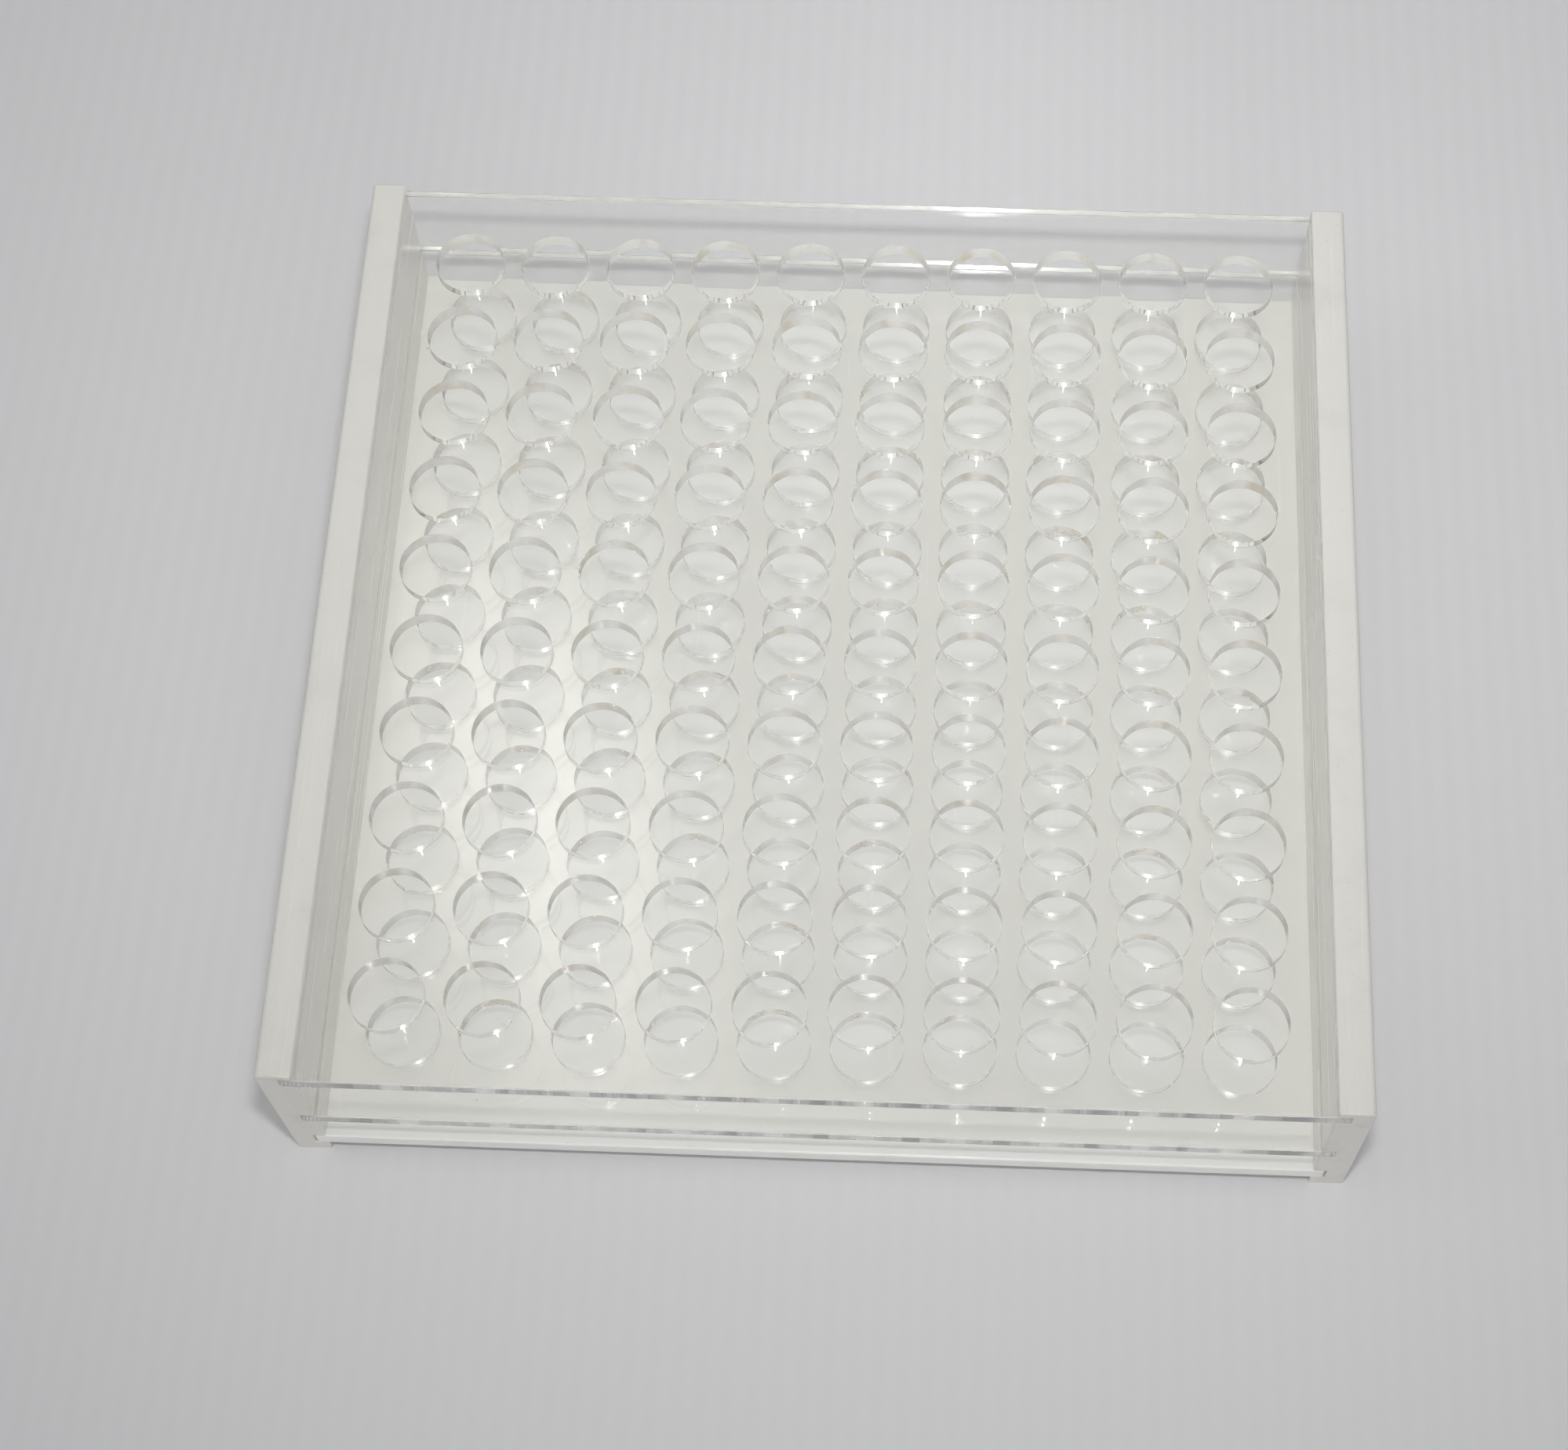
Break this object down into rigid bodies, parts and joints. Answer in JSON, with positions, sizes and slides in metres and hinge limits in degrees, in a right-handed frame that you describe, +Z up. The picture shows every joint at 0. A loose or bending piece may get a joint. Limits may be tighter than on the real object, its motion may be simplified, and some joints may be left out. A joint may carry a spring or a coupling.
{
  "type": "capsule filler",
  "caption": "Hand capsule filler holder: two grooved white side rails carry two clear sheets with a square grid of round holes over a solid white slide-out base sheet.",
  "frame": {"origin": "on the surface the holder stands on, under the middle of the holder", "axes": "+Z up, +X to the user's right along the width, -Y towards the user, where the base sheet draws out"},
  "size_m": [0.1204, 0.115, 0.027],
  "materials": {
    "rail_white": "satin cream-white sheet plastic with saw-cut ends",
    "clear_sheet": "polished clear acrylic",
    "base_white": "gloss white acrylic"
  },
  "bodies": {
    "holder": {"left_rail": "rail_white", "right_rail": "rail_white", "upper_guide_sheet": "clear_sheet", "lower_guide_sheet": "clear_sheet"},
    "base": {"base_sheet": "base_white"}
  },
  "joints": [
    {"name": "base_slide", "type": "slide", "parent": "holder", "child": "base", "axis": [0, -1, 0], "range_m": [0, 0.1]}
  ]
}
